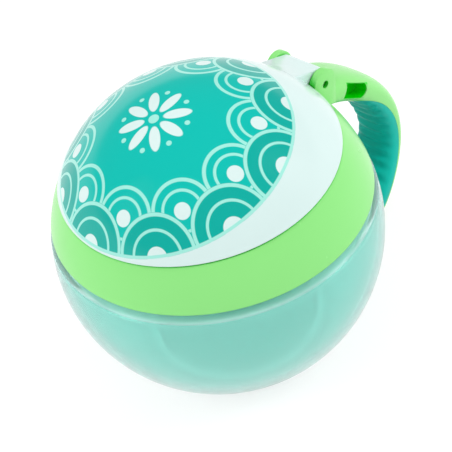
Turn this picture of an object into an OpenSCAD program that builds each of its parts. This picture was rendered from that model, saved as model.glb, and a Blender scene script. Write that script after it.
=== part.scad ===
// Round snack container with a screw-on collar, a hinged domed lid and a side handle.
// The origin is the centre of the flat base. +Z is up and the handle points to +X.

/* [Bowl] */
// Outside diameter of the round body
ball_d = 100; // [94:1:108]
// Height of the centre of the round body above the base
ball_h = 40; // [38:0.5:42]
// Wall of the bowl
bowl_wall = 2; // [1.6:0.1:2.6]
// Thickness of the bowl floor
floor_t = 3; // [2:0.5:5]
// Height of the bowl shoulder above the centre of the round body
shoulder_up = 10.5; // [9:0.5:12]
// Rounding of the shoulder edge
shoulder_round = 2; // [1:0.25:2.5]
// Height of the neck above the shoulder
neck_h = 8.5; // [7.5:0.25:9.5]

/* [Collar] */
// Lower edge of the collar above the bowl shoulder
collar_gap = 3.8; // [3:0.2:4.6]
// Wall of the collar where it is thinnest, at the top of its bore
collar_wall = 1.4; // [1.2:0.1:2]
// Radial clearance between the bowl neck and the collar bore
neck_clear = 1.3; // [1:0.1:1.6]
// Thickness of the deck inside the collar
deck_t = 1.6; // [1.2:0.1:2.4]
// Distance of the lid joint from the centre of the round body
rim_up = 28.6; // [27.8:0.1:29.4]
// Forward lean of the lid joint in degrees
rim_lean = 3.2; // [0:0.1:4]
// Width of the flat land that the lid rests on
rim_land = 3.2; // [2.6:0.1:4]

/* [Flap insert] */
// Thickness of the bead round the insert
bead_t = 2; // [1.6:0.1:2.6]
// Thickness of the soft flaps
flap_t = 1.2; // [0.8:0.1:1.6]
// Number of straight slits that cross at the centre
slit_count = 4; // [2:1:6]
// Width of each slit
slit_w = 0.8; // [0.5:0.1:1.2]

/* [Lid] */
// Outside radius of the dome
dome_r = 49; // [46:0.5:54]
// Overhang of the lid over the edge of the collar
lid_overhang = 0.5; // [0.2:0.1:0.8]
// Wall of the lid
lid_wall = 2; // [1.5:0.1:2.5]
// Gap between the lid and the collar
lid_gap = 0.4; // [0.3:0.1:0.6]
// Depth of the skirt that plugs into the collar
skirt_h = 3; // [2:0.25:3.5]
// Radial clearance round the skirt
skirt_clear = 0.4; // [0.3:0.05:0.6]

/* [Hinge] */
// Distance of the hinge axis behind the rear edge of the lid joint
hinge_back = 3.5; // [3.2:0.1:4.4]
// Depth of the hinge axis below the rear edge of the lid joint
hinge_drop = 0.7; // [0.2:0.1:1.2]
// Outside width over the two ears
hinge_w = 20; // [18:0.5:24]
// Thickness of each ear
ear_t = 2.5; // [2:0.1:3.4]
// Outside radius of the ears
ear_r = 4.8; // [4.4:0.1:5.4]
// Outside radius of the lid barrel
barrel_r = 4.1; // [3.6:0.1:4.4]
// Side clearance between the barrel and each ear
ear_clear = 0.35; // [0.25:0.05:0.6]
// Diameter of the hinge pin
pin_d = 2.4; // [2:0.1:3]
// Distance of each pin end inside the ear face
pin_inset = 1.2; // [0.6:0.1:1.5]

/* [Handle] */
// Finger room between the round body and the grip
finger_room = 22.5; // [20:0.5:28]
// Thickness of the arm
arm_t = 9.9; // [8.4:0.1:11.4]
// Width of the arm where it leaves the collar
arm_root_w = 19.9; // [17:0.1:19.9]
// Width of the arm at its waist
arm_waist_w = 15.2; // [12:0.2:18]
// Width of the arm near its free end
arm_tip_w = 23.8; // [18:0.2:26]
// Height of the waist above the base
waist_z = 26.6; // [24:0.2:30]
// Distance of the free end inside the waist
tip_in = 17; // [12:0.5:20]
// Height of the middle of the free end above the base
tip_z = 5; // [4.6:0.2:8]
// Thickness of the hard back left behind the soft grip
spine_t = 2.5; // [1.8:0.1:3.4]
// Clearance between the soft grip and its seat
grip_fit = 0.05; // [0.02:0.01:0.1]
// Number of ribs on the soft grip
rib_count = 10; // [6:1:12]
// Depth of the valleys between the ribs
rib_depth = 0.7; // [0.3:0.1:1]
// Length of the side pocket
pocket_l = 11.6; // [8:0.2:12.6]
// Height of the side pocket
pocket_h = 4.8; // [3:0.2:5.2]
// Depth of the side pocket
pocket_depth = 5; // [2:0.25:6]

/* [Hidden] */
$fn = 96;
eps = 0.01;
far = 200;

// Levels
ball_r = ball_d / 2;
shoulder_z = ball_h + shoulder_up;
neck_top = shoulder_z + neck_h;
collar_low = shoulder_z + collar_gap;
seat_play = 0.1;
deck_low = neck_top + bead_t + 2 * seat_play;
deck_top = deck_low + deck_t;

// Radii that follow from the round body and the walls
edge_step = 0.05;
bore_r = sqrt(pow(ball_r, 2) - pow(deck_low - ball_h, 2)) - collar_wall;
neck_r = bore_r - neck_clear;
neck_in = neck_r - bowl_wall;
rim_r = sqrt(pow(ball_r, 2) - pow(rim_up, 2));
recess_r = rim_r - rim_land;
skirt_r = recess_r - skirt_clear;
deck_reach = 6;
mouth_r = neck_in - deck_reach;
bead_clear = 0.4;
bead_r = bore_r - bead_clear;
bead_lap = 0.5;
slit_margin = 3;

// The dome is centred on the leaning axis of the lid joint, so its edge meets the collar all round
dome_drop = sqrt(pow(dome_r, 2) - pow(rim_r + lid_overhang, 2));
dome_x = -(rim_up - dome_drop) * sin(rim_lean);
dome_z = ball_h + (rim_up - dome_drop) * cos(rim_lean);

// Hinge
rim_back_x = rim_r * cos(rim_lean) - rim_up * sin(rim_lean);
rim_back_z = ball_h + rim_up * cos(rim_lean) + rim_r * sin(rim_lean);
hinge_x = rim_back_x + hinge_back;
hinge_z = rim_back_z - hinge_drop;
slot_w = hinge_w - 2 * ear_t;
barrel_w = slot_w - 2 * ear_clear;
pin_r = pin_d / 2;
press_clear = 0.01;
turn_clear = 0.06;
swing_clear = 0.45;
ear_room = ear_t + 4;
ear_foot = 9;
ear_sink = 0.7;
ear_taper = 1.2;
foot_rise = 2.5;
slot_drop = 4;

// Handle centre line: two cubic curves that meet upright at the waist
reach_x = ball_r + finger_room + arm_t / 2;
waist = [reach_x, waist_z];
root_set = [0.2, -5.4];
root = [hinge_x, hinge_z] + root_set;
tip = [reach_x - tip_in, tip_z];
root_pull = [19.4, -5.2];
waist_pull = [0, 15.8];
waist_push = [0, -10.8];
tip_pull = [7.3, 5.7];
upper_curve = [root, root + root_pull, waist + waist_pull, waist];
lower_curve = [waist, waist + waist_push, tip + tip_pull, tip];
section_power = 2.8;
arm_rings = 32;
grip_rings = 76;
cap_rings = 4;
section_sides = 22;
split_start = 0.15;
split_end = 0.8;
split_ease = 2.5;
grip_start = 0.175;
edge_share = 0.995;
cap_start = 0.96;
end_ratio = 0.02;
pocket_u = 0.155;

function bezier(c, t) =
    pow(1 - t, 3) * c[0] + 3 * pow(1 - t, 2) * t * c[1] + 3 * (1 - t) * t * t * c[2] + pow(t, 3) * c[3];
function bezier_way(c, t) =
    pow(1 - t, 2) * (c[1] - c[0]) + 2 * (1 - t) * t * (c[2] - c[1]) + t * t * (c[3] - c[2]);

// Along the arm u runs from 0 at the collar to 1 at the free end, with the waist at waist_u
waist_u = 0.62;
function arm_point(u) =
    u < waist_u ? bezier(upper_curve, u / waist_u)
                : bezier(lower_curve, (u - waist_u) / (1 - waist_u));
function arm_way(u) =
    let (d = u < waist_u ? bezier_way(upper_curve, u / waist_u)
                         : bezier_way(lower_curve, (u - waist_u) / (1 - waist_u)))
    d / norm(d);
function smooth(t) = let (c = min(1, max(0, t))) c * c * (3 - 2 * c);
function cap(u) = u < cap_start ? 1 : sqrt(max(end_ratio, 1 - pow((u - cap_start) / (1 - cap_start), 2)));
function arm_half_w(u) =
    cap(u) * (u < waist_u
        ? arm_root_w / 2 + (arm_waist_w - arm_root_w) / 2 * smooth(u / waist_u)
        : arm_waist_w / 2 + (arm_tip_w - arm_waist_w) / 2 * smooth((u - waist_u) / (1 - waist_u)));
function arm_half_t(u) = cap(u) * arm_t / 2;

// The split between the hard back and the soft grip, as a share of the half thickness
function split_share(u) =
    let (back = 1 - spine_t / (arm_t / 2),
         left = 1 - min(1, max(0, (u - split_start) / (split_end - split_start))))
    -edge_share + (back + edge_share) * (1 - pow(left, split_ease));
function split_angle(share) = asin(sign(share) * pow(abs(share), section_power / 2));

// One point of the rounded section: across the arm, then away from the round body
function section_point(a, half_w, half_t) =
    [half_w * sign(cos(a)) * pow(abs(cos(a)), 2 / section_power),
     half_t * sign(sin(a)) * pow(abs(sin(a)), 2 / section_power)];

// Ribs run across the inner face of the grip and fade out to its sides
rib_from = 0.24;
rib_to = 0.9;
function rib_valley(u, a) =
    let (t = (u - rib_from) / (rib_to - rib_from))
    t < 0 || t > 1 || sin(a) > 0 ? 0
        : rib_depth * (0.5 - 0.5 * cos(360 * rib_count * t)) * pow(abs(sin(a)), 1.5);

function place(u, p) =
    let (c = arm_point(u), d = arm_way(u))
    [c[0] - d[1] * p[1], p[0], c[1] + d[0] * p[1]];

// Stations along the arm, closer together over the rounded free end
function stations(from, count) = [
    for (j = [0 : count - 1]) from + (cap_start - from) * j / count,
    for (k = [0 : cap_rings]) cap_start + (1 - cap_start) * sin(90 * k / cap_rings)
];

function back_ring(u) =
    let (low = split_angle(split_share(u)))
    [for (i = [0 : section_sides - 1])
        place(u, section_point(low + (180 - 2 * low) * i / (section_sides - 1),
                               arm_half_w(u), arm_half_t(u)))];
function grip_ring(u) =
    let (high = split_angle(split_share(u) - grip_fit / (arm_t / 2)))
    [for (i = [0 : section_sides - 1])
        let (a = 180 - high + (180 + 2 * high) * i / (section_sides - 1),
             p = section_point(a, arm_half_w(u), arm_half_t(u)))
        place(u, [p[0], p[1] + rib_valley(u, a)])];

// A closed skin over rings of points, all with the same number of points
module loft(rings) {
    count = len(rings);
    sides = len(rings[0]);
    points = [for (ring = rings) each ring];
    sleeve = [for (j = [0 : count - 2], i = [0 : sides - 1])
        let (a = j * sides + i, b = j * sides + (i + 1) % sides)
        each [[a, b + sides, b], [a, a + sides, b + sides]]];
    ends = [[for (i = [0 : sides - 1]) i],
            [for (i = [0 : sides - 1]) count * sides - 1 - i]];
    polyhedron(points = points, faces = concat(sleeve, ends), convexity = 6);
}

// Places its children in the leaning frame of the lid joint
module rim_frame() {
    translate([0, 0, ball_h])
        rotate([0, -rim_lean, 0])
            translate([0, 0, rim_up])
                children();
}

// A round bar across the hinge, centred on its axis
module hinge_bar(r, w) {
    translate([hinge_x, w / 2, hinge_z])
        rotate([90, 0, 0])
            cylinder(h = w, r = r);
}

// An outline in the plane of the handle, given a width across it
module across(w) {
    translate([0, w / 2, 0])
        rotate([90, 0, 0])
            linear_extrude(height = w)
                children();
}

module bowl_outside() {
    edge_r = sqrt(pow(ball_r, 2) - pow(shoulder_up - shoulder_round, 2)) - shoulder_round - edge_step;
    rotate_extrude() {
        intersection() {
            translate([0, ball_h])
                circle(r = ball_r);
            square([ball_r, shoulder_z - shoulder_round]);
        }
        translate([0, ball_h])
            square([edge_r, shoulder_up]);
        translate([edge_r, shoulder_z - shoulder_round])
            circle(r = shoulder_round);
        translate([0, ball_h])
            square([neck_r, neck_top - ball_h]);
    }
}

module bowl_inside() {
    rotate_extrude() {
        intersection() {
            translate([0, ball_h])
                circle(r = ball_r - bowl_wall);
            translate([0, floor_t])
                square([ball_r, shoulder_z - bowl_wall - floor_t]);
        }
        translate([0, ball_h])
            square([neck_in, neck_top]);
    }
}

module bowl() {
    color("paleturquoise")
        difference() {
            bowl_outside();
            bowl_inside();
        }
}

module collar_ring() {
    intersection() {
        translate([0, 0, ball_h])
            sphere(r = ball_r);
        translate([0, 0, collar_low])
            cylinder(h = far, r = far);
        rim_frame()
            translate([0, 0, -far])
                cylinder(h = far, r = far);
    }
}

module ears() {
    foot_x = rim_back_x - ear_sink;
    foot_z = hinge_z - ear_foot;
    difference() {
        union() {
            hinge_bar(ear_r, hinge_w);
            across(hinge_w)
                polygon([[foot_x, foot_z + foot_rise], [foot_x, hinge_z],
                         [hinge_x + ear_r, hinge_z], [hinge_x + ear_r - ear_taper, foot_z]]);
        }
        across(slot_w)
            translate([hinge_x - 2 * ear_r, hinge_z - slot_drop])
                square([4 * ear_r, slot_drop + 2 * ear_r]);
    }
}

module pocket_outline() {
    translate([-pocket_l / 2, -pocket_h / 2])
        square([pocket_l - pocket_h / 2, pocket_h]);
    translate([(pocket_l - pocket_h) / 2, 0])
        circle(r = pocket_h / 2);
}

module side_pockets() {
    centre = arm_point(pocket_u);
    way = arm_way(pocket_u);
    floor_y = arm_half_w(pocket_u) - pocket_depth;
    difference() {
        translate([centre[0], 0, centre[1]])
            rotate([0, -atan2(way[1], way[0]), 0])
                across(hinge_w + 2)
                    pocket_outline();
        cube([far, 2 * floor_y, far], center = true);
    }
}

module collar() {
    color("lightgreen")
        difference() {
            union() {
                collar_ring();
                ears();
                loft([for (u = stations(0, arm_rings)) back_ring(u)]);
            }
            translate([0, 0, -eps])
                cylinder(h = deck_low + eps, r = bore_r);
            cylinder(h = far, r = mouth_r);
            intersection() {
                rim_frame()
                    translate([0, 0, -far])
                        cylinder(h = 2 * far, r = recess_r);
                translate([0, 0, deck_top])
                    cylinder(h = far, r = far);
            }
            hinge_bar(barrel_r + swing_clear, slot_w);
            hinge_bar(pin_r + press_clear, hinge_w + 2);
            side_pockets();
        }
}

module handle_grip() {
    color("darkcyan")
        loft([for (u = stations(grip_start, grip_rings)) grip_ring(u)]);
}

module flap_insert() {
    low = neck_top + seat_play;
    flap_low = low + bead_t - flap_t;
    color("white")
        difference() {
            translate([0, 0, low])
                cylinder(h = bead_t, r = bead_r);
            translate([0, 0, low - eps])
                cylinder(h = bead_t - flap_t + eps, r = neck_in - bead_lap);
            for (i = [0 : slit_count - 1])
                rotate([0, 0, 180 * i / slit_count])
                    translate([0, 0, low + bead_t / 2])
                        cube([2 * (mouth_r - slit_margin), slit_w, 2 * bead_t], center = true);
        }
}

module dome_ball(r) {
    rim_frame()
        translate([0, 0, -dome_drop])
            sphere(r = r);
}

module lid_dome() {
    intersection() {
        dome_ball(dome_r);
        rim_frame()
            translate([0, 0, lid_gap])
                cylinder(h = far, r = far);
    }
}

module lid_tongue() {
    from_x = hinge_x - 2 * barrel_r;
    top_z = dome_z + sqrt(pow(dome_r, 2) - pow(from_x - dome_x, 2));
    gap_x = from_x - hinge_x;
    gap_z = top_z - hinge_z;
    reach = sqrt(pow(gap_x, 2) + pow(gap_z, 2));
    touch = atan2(gap_z, gap_x) - acos(barrel_r / reach);
    hinge_bar(barrel_r, barrel_w);
    across(barrel_w)
        polygon([[from_x, top_z],
                 [hinge_x + barrel_r * cos(touch), hinge_z + barrel_r * sin(touch)],
                 [hinge_x, hinge_z],
                 [rim_back_x, rim_back_z + lid_gap],
                 [from_x, rim_back_z + lid_gap]]);
}

module lid_hollow() {
    intersection() {
        dome_ball(dome_r - lid_wall);
        rim_frame()
            translate([0, 0, lid_gap - eps])
                cylinder(h = far, r = far);
    }
}

module lid_skirt() {
    intersection() {
        rim_frame()
            translate([0, 0, -skirt_h])
                difference() {
                    cylinder(h = far, r = skirt_r);
                    translate([0, 0, -eps])
                        cylinder(h = far, r = skirt_r - lid_wall);
                }
        dome_ball(dome_r - lid_wall / 2);
    }
}

module lid() {
    color("azure")
        difference() {
            union() {
                difference() {
                    union() {
                        lid_dome();
                        lid_tongue();
                    }
                    lid_hollow();
                }
                lid_skirt();
            }
            for (side = [-1, 1])
                translate([hinge_x, side * (barrel_w + ear_room) / 2, hinge_z])
                    rotate([90, 0, 0])
                        cylinder(h = ear_room, r = ear_r + swing_clear, center = true);
            hinge_bar(pin_r + turn_clear, hinge_w);
        }
}

module hinge_pin() {
    color("gainsboro")
        hinge_bar(pin_r, hinge_w - 2 * pin_inset);
}

bowl();
collar();
handle_grip();
flap_insert();
lid();
hinge_pin();
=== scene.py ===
"""Looks for the round snack container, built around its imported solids. Lengths are in metres."""

import math

import bmesh
import bpy
import numpy as np
from mathutils import Matrix, Vector


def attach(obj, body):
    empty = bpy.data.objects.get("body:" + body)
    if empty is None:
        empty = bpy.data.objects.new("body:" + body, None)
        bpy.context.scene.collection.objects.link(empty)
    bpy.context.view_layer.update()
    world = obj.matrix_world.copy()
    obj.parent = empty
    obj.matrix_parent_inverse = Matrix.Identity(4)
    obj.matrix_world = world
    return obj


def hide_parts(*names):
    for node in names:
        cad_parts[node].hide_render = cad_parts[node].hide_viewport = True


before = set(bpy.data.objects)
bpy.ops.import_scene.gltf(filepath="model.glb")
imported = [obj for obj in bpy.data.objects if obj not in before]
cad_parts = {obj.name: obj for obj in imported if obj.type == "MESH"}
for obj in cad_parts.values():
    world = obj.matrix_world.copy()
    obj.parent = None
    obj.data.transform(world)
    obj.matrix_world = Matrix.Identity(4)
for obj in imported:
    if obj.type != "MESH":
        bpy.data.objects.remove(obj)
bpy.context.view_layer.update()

MM = 0.001

# ---------------------------------------------------------------- sizes, the same as the solids have
BALL_R = 50 * MM
BALL_Z = 40 * MM
BOWL_WALL = 2 * MM
FLOOR_T = 3 * MM
SHOULDER_Z = BALL_Z + 10.5 * MM
NECK_TOP = SHOULDER_Z + 8.5 * MM
COLLAR_LOW = SHOULDER_Z + 3.8 * MM
COLLAR_WALL = 1.4 * MM
NECK_CLEAR = 1.3 * MM
DECK_REACH = 6 * MM
BEAD_T = 2 * MM
BEAD_CLEAR = 0.4 * MM
BEAD_LAP = 0.5 * MM
FLAP_T = 1.2 * MM
SEAT_PLAY = 0.1 * MM
DECK_LOW = NECK_TOP + BEAD_T + 2 * SEAT_PLAY
DECK_TOP = DECK_LOW + 1.6 * MM
BORE_R = math.sqrt(BALL_R**2 - (DECK_LOW - BALL_Z) ** 2) - COLLAR_WALL
NECK_R = BORE_R - NECK_CLEAR
NECK_IN = NECK_R - BOWL_WALL
MOUTH_R = NECK_IN - DECK_REACH
BEAD_R = BORE_R - BEAD_CLEAR

RIM_UP = 28.6 * MM
RIM_LEAN = math.radians(3.2)
RIM_LAND = 3.2 * MM
RIM_R = math.sqrt(BALL_R**2 - RIM_UP**2)
RECESS_R = RIM_R - RIM_LAND
SKIRT_CLEAR = 0.4 * MM
SKIRT_R = RECESS_R - SKIRT_CLEAR
SKIRT_H = 3 * MM
LID_WALL = 2 * MM
LID_GAP = 0.4 * MM
LID_OVERHANG = 0.5 * MM
DOME_R = 49 * MM
DOME_DROP = math.sqrt(DOME_R**2 - (RIM_R + LID_OVERHANG) ** 2)

RIM_BACK_X = RIM_R * math.cos(RIM_LEAN) - RIM_UP * math.sin(RIM_LEAN)
RIM_BACK_Z = BALL_Z + RIM_UP * math.cos(RIM_LEAN) + RIM_R * math.sin(RIM_LEAN)
HINGE_BACK = 3.5 * MM
HINGE_DROP = 0.7 * MM
HINGE = Vector((RIM_BACK_X + HINGE_BACK, 0, RIM_BACK_Z - HINGE_DROP))
HINGE_W = 20 * MM
EAR_T = 2.5 * MM
EAR_R = 4.8 * MM
EAR_FOOT = 9 * MM
EAR_FOOT_RISE = 2.5 * MM
EAR_SINK = 0.7 * MM
EAR_TAPER = 1.2 * MM
EAR_CLEAR = 0.35 * MM
EAR_ROOM = EAR_T + 4 * MM
BARREL_R = 4.1 * MM
SLOT_W = HINGE_W - 2 * EAR_T
BARREL_W = SLOT_W - 2 * EAR_CLEAR
PIN_R = 1.2 * MM
PIN_INSET = 1.2 * MM
TURN_CLEAR = 0.06 * MM
SWING_CLEAR = 0.45 * MM
SLIT_COUNT = 4
SLIT_W = 0.8 * MM
SLIT_MARGIN = 3 * MM
SLIT_END = MOUTH_R - SLIT_MARGIN

# Sizes of what only the scene has. The bowl's ledge stands higher here, with a tighter edge, because the
# gap below the collar is narrower in the photograph than in the solids. THREAD_RISE is the share of its
# sweep over which a ridge of the thread rises, and also sinks.
LEDGE_Z = SHOULDER_Z + 1.5 * MM
LEDGE_ROUND = 1.3 * MM
THREAD_STARTS = 2
THREAD_LEAD = 9 * MM
THREAD_DEPTH = 0.8 * MM
THREAD_H = 1.5 * MM
THREAD_SUNK = 0.4 * MM
THREAD_RISE = 0.125
THREAD_STEPS = 72
NECK_THREAD_Z = LEDGE_Z + 1.25 * MM
NECK_THREAD_SWEEP = math.radians(180)
COLLAR_THREAD_Z = COLLAR_LOW + 1.1 * MM
COLLAR_THREAD_SWEEP = math.radians(190)
FOOT_IN = 4 * MM
FOOT_UP = 0.5 * MM
FOOT_EDGE = 0.2 * MM
SNAP_UP = 0.3 * MM
SNAP_SPREAD = 0.4 * MM
SNAP_DOWN = 0.62 * SKIRT_H
TONGUE_ROOT = 5 * MM
TONGUE_EDGE = 0.4 * MM
EAR_EDGE = 0.35 * MM
RELIEF_R = 0.9 * MM

# Steps that keep the faces of a cut from lying on faces that are already there, and the cuts' far ends
FACE_STEP = 0.02 * MM
ARM_BORE_STEP = 0.1 * MM
EAR_BORE_STEP = 0.2 * MM
MOUTH_STEP = 0.2 * MM
HOLLOW_STEP = 0.05 * MM
CUT_LOW = -10 * MM
CUT_HIGH = 200 * MM

# Points closer together than this are merged, in metres: on a new mesh, and after the cuts
MERGE = 1e-7
CUT_MERGE = 1e-6

# How many sides the scene gives to what is round
ROUND_SIDES = 160
BARREL_SIDES = 96
PIN_SIDES = 48
PIN_HOLE_SIDES = 40
RELIEF_SIDES = 24

# The frame of the lid joint: its origin is on the axis of the lid, and its Z leans away from the hinge
RIM_FRAME = (
    Matrix.Translation((0, 0, BALL_Z))
    @ Matrix.Rotation(-RIM_LEAN, 4, "Y")
    @ Matrix.Translation((0, 0, RIM_UP))
)

DOME_CENTRE = RIM_FRAME @ Vector((0, 0, -DOME_DROP))

# ---------------------------------------------------------------- the photograph's camera
# SENSOR is in millimetres, as Blender counts it, and FOCAL_PIXELS in pixels of the photograph.
CAMERA_TURN = math.radians(37)
CAMERA_RISE = math.radians(42.72)
CAMERA_ROLL = math.radians(-12.64)
CAMERA_AWAY = 300 * MM
CAMERA_SLIDE = 2.33 * MM
CAMERA_LIFT = 0.39 * MM
FOCAL_PIXELS = 990
FRAME_PIXELS = 452
SENSOR = 36
CAMERA_NEAR = 10 * MM


def make_camera():
    """Aims at the middle of the ball, rolls and slides in its own frame, and is then turned about Z."""
    forward = Vector((0, math.cos(CAMERA_RISE), -math.sin(CAMERA_RISE)))
    side = Vector((1, 0, 0))
    up = side.cross(forward)
    roll_c, roll_s = math.cos(CAMERA_ROLL), math.sin(CAMERA_ROLL)
    right = roll_c * side + roll_s * up
    up = -roll_s * side + roll_c * up
    place = -forward * CAMERA_AWAY + right * CAMERA_SLIDE + up * CAMERA_LIFT
    turn = Matrix.Rotation(-CAMERA_TURN, 4, "Z")
    axes = Matrix((right, up, -forward)).transposed().to_4x4()
    data = bpy.data.cameras.new("camera")
    data.sensor_width = SENSOR
    data.sensor_height = SENSOR
    data.sensor_fit = "HORIZONTAL"
    data.lens = FOCAL_PIXELS / FRAME_PIXELS * SENSOR
    data.clip_start = CAMERA_NEAR
    camera = bpy.data.objects.new("camera", data)
    bpy.context.scene.collection.objects.link(camera)
    camera.matrix_world = Matrix.Translation((0, 0, BALL_Z)) @ turn @ Matrix.Translation(place) @ axes
    bpy.context.scene.camera = camera


# ---------------------------------------------------------------- mesh helpers
def new_object(name, vertices, faces):
    mesh = bpy.data.meshes.new(name)
    mesh.from_pydata([tuple(v) for v in vertices], [], [tuple(int(i) for i in f) for f in faces])
    mesh.update()
    thing = bpy.data.objects.new(name, mesh)
    bpy.context.scene.collection.objects.link(thing)
    return thing


def tidy(thing, merge=MERGE):
    """Merges double points, such as those at a pole, and turns every face outward."""
    shape = bmesh.new()
    shape.from_mesh(thing.data)
    bmesh.ops.remove_doubles(shape, verts=shape.verts, dist=merge)
    bmesh.ops.dissolve_degenerate(shape, edges=shape.edges, dist=merge)
    bmesh.ops.recalc_face_normals(shape, faces=shape.faces)
    shape.to_mesh(thing.data)
    shape.free()


def fill_holes(thing):
    """Closes each open edge with a face, and turns every face outward."""
    shape = bmesh.new()
    shape.from_mesh(thing.data)
    bmesh.ops.holes_fill(shape, edges=shape.edges)
    bmesh.ops.recalc_face_normals(shape, faces=shape.faces)
    shape.to_mesh(thing.data)
    shape.free()


def shade(thing, angle=32):
    """Smooth shading, with a crease where faces meet at more than the angle."""
    thing.data.shade_smooth()
    bpy.context.view_layer.objects.active = thing
    with bpy.context.temp_override(object=thing, active_object=thing, selected_objects=[thing],
                                   selected_editable_objects=[thing]):
        bpy.ops.object.shade_smooth_by_angle(angle=math.radians(angle))


def cut_with(thing, tool, operation="DIFFERENCE"):
    """Applies a boolean with the tool, and deletes the tool."""
    step = thing.modifiers.new("cut", "BOOLEAN")
    step.operation = operation
    step.object = tool
    step.solver = "EXACT"
    bpy.context.view_layer.update()
    result = thing.evaluated_get(bpy.context.evaluated_depsgraph_get())
    mesh = bpy.data.meshes.new_from_object(result)
    thing.modifiers.clear()
    old = thing.data
    thing.data = mesh
    bpy.data.meshes.remove(old)
    bpy.data.objects.remove(tool)


def resample(points, start, end, count):
    """Evenly spaced points along a polyline, with a length left off at its start and its end."""
    points = np.asarray(points, float)
    steps = np.linalg.norm(np.diff(points, axis=0), axis=1)
    along = np.concatenate([[0], np.cumsum(steps)])
    at = np.linspace(start, along[-1] - end, count)
    return np.stack([np.interp(at, along, points[:, k]) for k in range(points.shape[1])], 1)


def rounded_path(stretches, closed, corner_steps=4):
    """Joins stretches of (points, count, rounding at the end) into one path with rounded corners. A
    rounding is the length that the corner's curve takes from each of its two sides."""
    out = []
    total = len(stretches)
    for i, (points, count, radius) in enumerate(stretches):
        before = stretches[i - 1][2] if closed or i else 0
        after = radius if closed or i < total - 1 else 0
        body = resample(points, before, after, count)
        out.append(body)
        if closed or i < total - 1:
            following = stretches[(i + 1) % total]
            corner = np.asarray(points[-1], float)
            leave = body[-1]
            arrive = resample(following[0], after, 0, 2)[0]
            for k in range(1, corner_steps):
                t = k / corner_steps
                out.append(((1 - t) ** 2 * leave + 2 * t * (1 - t) * corner + t * t * arrive)[None])
    return np.concatenate(out)


def arc(centre, radius, start, end, steps=80):
    """Points on a round stretch, from one angle in degrees to another."""
    angles = np.radians(np.linspace(start, end, steps))
    return np.stack([centre[0] + radius * np.cos(angles), centre[1] + radius * np.sin(angles)], 1)


def line(a, b):
    return np.array([a, b], float)


def revolve(name, profile_at, turns=ROUND_SIDES, closed=True):
    """Revolves a profile about Z. profile_at gives the (radius, height) points for an angle."""
    angles = np.linspace(0, 2 * math.pi, turns, endpoint=False)
    rings = [profile_at(a) for a in angles]
    count = len(rings[0])
    vertices = [(r * math.cos(a), r * math.sin(a), z) for a, ring in zip(angles, rings) for r, z in ring]
    faces = []
    for i in range(turns):
        j = (i + 1) % turns
        for k in range(count if closed else count - 1):
            m = (k + 1) % count
            faces.append((i * count + k, j * count + k, j * count + m, i * count + m))
    thing = new_object(name, vertices, faces)
    tidy(thing)
    return thing


def loft(name, rings):
    """A closed skin over rings of points."""
    count, sides = len(rings), len(rings[0])
    vertices = np.concatenate(rings)
    faces = [
        (j * sides + i, j * sides + (i + 1) % sides, (j + 1) * sides + (i + 1) % sides, (j + 1) * sides + i)
        for j in range(count - 1)
        for i in range(sides)
    ]
    faces.append(tuple(range(sides))[::-1])
    faces.append(tuple((count - 1) * sides + i for i in range(sides)))
    thing = new_object(name, vertices, faces)
    tidy(thing)
    return thing


def across(name, outline, width, bevel=0.0, centre_y=0.0):
    """A prism of an outline in the XZ plane. A bevel rounds its edges, in steps of place and inset."""
    outline = np.asarray(outline, float)
    middle = outline.mean(0)
    rings = []
    steps = [(-1, 1.0), (-0.7, 0.3), (-0.3, 0.08), (0, 0.0)] if bevel else [(0, 0.0)]
    layers = [(-width / 2 + bevel * (1 + s), inset) for s, inset in steps]
    layers += [(width / 2 - bevel * (1 + s), inset) for s, inset in reversed(steps)]
    edges = np.roll(outline, -1, 0) - np.roll(outline, 1, 0)
    normals = np.stack([edges[:, 1], -edges[:, 0]], 1)
    normals /= np.linalg.norm(normals, axis=1)[:, None]
    if np.sum(normals * (outline - middle)) < 0:
        normals = -normals
    for y, inset in layers:
        ring = outline - normals * bevel * inset
        rings.append(np.stack([ring[:, 0], np.full(len(ring), centre_y + y), ring[:, 1]], 1))
    return loft(name, rings)


def bar(name, radius, width, centre_y=0.0, sides=BARREL_SIDES):
    """A round bar on the hinge axis."""
    angles = np.linspace(0, 2 * math.pi, sides, endpoint=False)
    outline = np.stack([HINGE.x + radius * np.cos(angles), HINGE.z + radius * np.sin(angles)], 1)
    return across(name, outline, width, 0.0, centre_y)


def upright(name, outline, low, high):
    """A prism of an outline in the XY plane, from one height to another."""
    rings = [np.concatenate([outline, np.full((len(outline), 1), z)], 1) for z in (low, high)]
    return loft(name, rings)


def cylinder(name, radius, low, high, sides=ROUND_SIDES):
    """A round bar on the Z axis."""
    angles = np.linspace(0, 2 * math.pi, sides, endpoint=False)
    circle = np.stack([radius * np.cos(angles), radius * np.sin(angles)], 1)
    return upright(name, circle, low, high)


# ---------------------------------------------------------------- the handle's sweep
# It is the same as in the solids, apart from a thicker back and deeper valleys between the ribs. U runs
# from 0 at the root to 1 at the free end.
ARM_T = 9.9 * MM
FINGER_ROOM = 22.5 * MM
REACH_X = BALL_R + FINGER_ROOM + ARM_T / 2
WAIST_Z = 26.6 * MM
TIP_IN = 17 * MM
TIP_Z = 5 * MM
ROOT_BACK, ROOT_DROP = 0.2 * MM, 5.4 * MM
ROOT_PULL = np.array((19.4, -5.2)) * MM
WAIST_PULL = np.array((0, 15.8)) * MM
WAIST_PUSH = np.array((0, -10.8)) * MM
TIP_PULL = np.array((7.3, 5.7)) * MM
WAIST = np.array((REACH_X, WAIST_Z))
ROOT = np.array((HINGE.x + ROOT_BACK, HINGE.z - ROOT_DROP))
TIP = np.array((REACH_X - TIP_IN, TIP_Z))
UPPER_CURVE = [ROOT, ROOT + ROOT_PULL, WAIST + WAIST_PULL, WAIST]
LOWER_CURVE = [WAIST, WAIST + WAIST_PUSH, TIP + TIP_PULL, TIP]
WAIST_U = 0.62
ARM_ROOT_W = 19.9 * MM
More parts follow.
